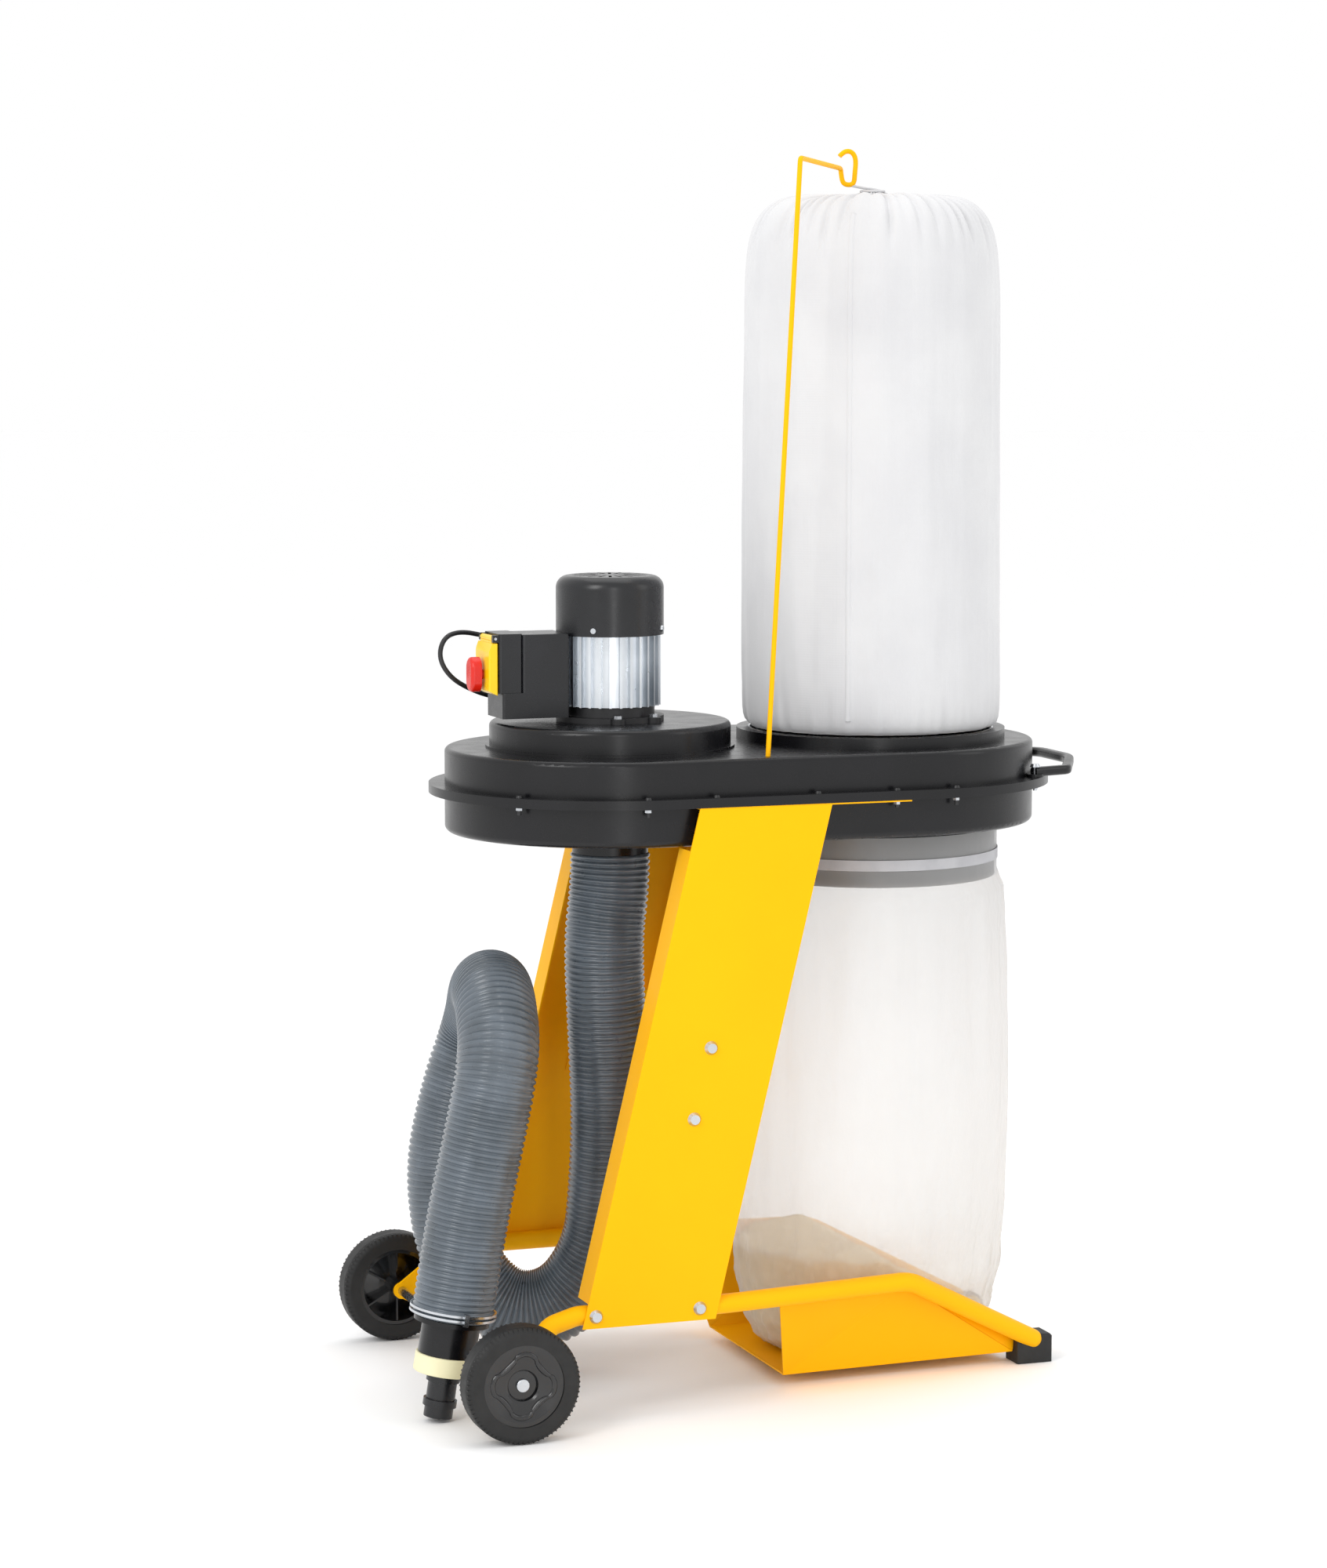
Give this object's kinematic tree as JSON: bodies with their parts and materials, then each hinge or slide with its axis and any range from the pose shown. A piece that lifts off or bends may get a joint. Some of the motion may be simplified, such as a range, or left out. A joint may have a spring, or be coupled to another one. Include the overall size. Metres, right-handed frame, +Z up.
{
  "type": "dust collector",
  "caption": "Portable single-bag dust collector: motor and fan on a black casing, cloth filter bag above, clear chip bag below, ribbed suction hose, yellow wheeled stand.",
  "frame": {"origin": "on the floor, under the middle of the machine's overall length and width", "axes": "+Z up, +X from the wheels towards the handle and the bags, -Y is the left side as seen from the handle"},
  "size_m": [0.9583, 0.6963, 1.6063],
  "materials": {
    "case_black": "satin moulded black plastic",
    "yellow_paint": "gloss yellow powder coat",
    "aluminium": "cast and machined aluminium",
    "steel": "zinc plated steel",
    "black_steel": "black painted metal",
    "cowl_black": "semi gloss black plastic",
    "switch_yellow": "glossy yellow plastic",
    "button_red": "glossy red plastic",
    "button_green": "glossy green plastic",
    "cable_rubber": "black rubber sheath",
    "brass": "plain brass",
    "hose_grey": "matt grey ribbed hose",
    "cream_ring": "cream soft plastic",
    "cloth": "white felted filter cloth",
    "film": "clear thin film",
    "tyre": "black rubber tread",
    "hub_black": "gloss black plastic",
    "foot_rubber": "black rubber",
    "copper_steel": "laminated steel and windings"
  },
  "bodies": {
    "machine": {"lower_shell": "case_black", "inlet_spigot": "case_black", "bag_collar": "black_steel", "upper_shell": "case_black", "fan_scroll": "black_steel", "flange_screws": "black_steel", "flange_nuts": "steel", "fan_cover": "case_black", "bearings": "steel", "stator": "copper_steel", "motor_foot": "black_steel", "motor_housing": "aluminium", "top_shield": "aluminium", "fan_cowl": "cowl_black", "motor_screws": "steel", "terminal_box": "cowl_black", "box_lid": "cowl_black", "switch_body": "cowl_black", "cover_pin": "steel", "cable_gland": "cowl_black", "mains_lead": "cable_rubber", "lead_coil": "cable_rubber", "plug": "cable_rubber", "plug_pins": "brass", "hose": "hose_grey", "inlet_clamp": "steel", "end_clamp": "steel", "adaptor_cup": "case_black", "sealing_ring": "cream_ring", "nozzle": "cowl_black", "filter_bag": "cloth", "snap_ring": "steel", "hanger_rod": "yellow_paint", "chip_bag": "film", "bag_band": "steel", "leg_left": "yellow_paint", "leg_right": "yellow_paint", "cross_brace": "yellow_paint", "tube_left": "yellow_paint", "tube_right": "yellow_paint", "tray": "yellow_paint", "foot_left": "foot_rubber", "foot_right": "foot_rubber", "panel_bolts": "steel", "axle": "steel", "axle_caps": "steel", "handle": "case_black", "handle_screws": "steel"},
    "rotor_unit": {"rotor": "steel", "impeller": "steel", "cooling_fan": "case_black"},
    "wheel_left": {"hub_left": "hub_black", "tyre_left": "tyre"},
    "wheel_right": {"hub_right": "hub_black", "tyre_right": "tyre"},
    "switch_lid": {"switch_cover": "switch_yellow"},
    "knob": {"stop_knob": "button_red"},
    "start_key": {"start_button": "button_green"},
    "stop_key": {"stop_button": "button_red"},
    "clamp_arm": {"band_lever": "steel"}
  },
  "joints": [
    {"name": "rotor_spin", "type": "hinge", "parent": "machine", "child": "rotor_unit", "pos_m": [-0.175, 0, 0.9], "axis": [0, 0, 1], "continuous": true},
    {"name": "wheel_left_spin", "type": "hinge", "parent": "machine", "child": "wheel_left", "pos_m": [-0.391, -0.285, 0.074], "axis": [0, 1, 0], "continuous": true},
    {"name": "wheel_right_spin", "type": "hinge", "parent": "machine", "child": "wheel_right", "pos_m": [-0.391, 0.285, 0.074], "axis": [0, 1, 0], "continuous": true},
    {"name": "cover_hinge", "type": "hinge", "parent": "machine", "child": "switch_lid", "pos_m": [-0.3395, 0, 0.979], "axis": [0, 1, 0], "range_deg": [0, 100]},
    {"name": "knob_push", "type": "slide", "parent": "switch_lid", "child": "knob", "axis": [1, 0, 0], "range_m": [0, 0.004], "stiffness_N_per_m": 400},
    {"name": "start_push", "type": "slide", "parent": "machine", "child": "start_key", "axis": [1, 0, 0], "range_m": [0, 0.003], "stiffness_N_per_m": 400},
    {"name": "stop_push", "type": "slide", "parent": "machine", "child": "stop_key", "axis": [1, 0, 0], "range_m": [0, 0.003], "stiffness_N_per_m": 400},
    {"name": "clamp_release", "type": "hinge", "parent": "machine", "child": "clamp_arm", "pos_m": [0.198, 0.1752, 0.7], "axis": [0, 0, -1], "range_deg": [0, 100]}
  ]
}
